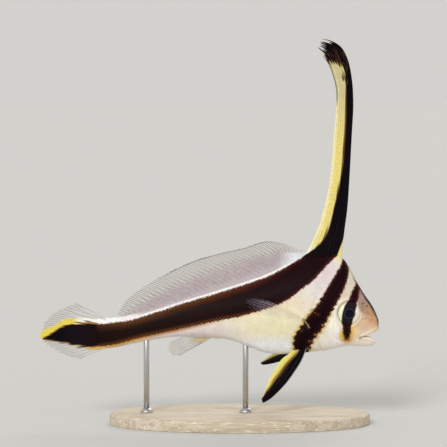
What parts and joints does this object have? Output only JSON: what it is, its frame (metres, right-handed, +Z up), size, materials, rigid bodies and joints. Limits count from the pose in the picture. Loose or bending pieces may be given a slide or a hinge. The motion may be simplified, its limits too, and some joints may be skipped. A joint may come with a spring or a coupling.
{
  "type": "jackknife fish model",
  "caption": "Life-size still model of a young jackknife fish, swimming, with tall blade-like dorsal fin, long low second dorsal, and a plain display base with slim rods.",
  "frame": {"origin": "on the floor, below the middle of the whole model's length and width, in the fish's midplane", "axes": "+X towards the snout, +Y towards the fish's left side, +Z up"},
  "size_m": [0.12, 0.049, 0.1352],
  "materials": {
    "silver_skin": "moist scaled skin",
    "dark_web": "thin moist fin skin",
    "clear_web": "thin moist fin skin",
    "eye": "wet gloss",
    "limed_wood": "satin",
    "steel_rod": "satin"
  },
  "bodies": {
    "root": {"head": "silver_skin", "lower_jaw": "silver_skin", "torso": "silver_skin", "tail_stalk": "silver_skin", "tail_fin": "clear_web", "dorsal_fin_spiny": "dark_web", "dorsal_fin_spiny_tip": "dark_web", "dorsal_fin_soft": "clear_web", "anal_fin": "clear_web", "pelvic_fin_right": "dark_web", "pelvic_fin_left": "dark_web", "pectoral_fin_right": "clear_web", "pectoral_fin_left": "clear_web", "eye_right": "eye", "eye_left": "eye", "stand_base": "limed_wood", "stand_rod_front": "steel_rod", "stand_rod_rear": "steel_rod"}
  },
  "joints": []
}
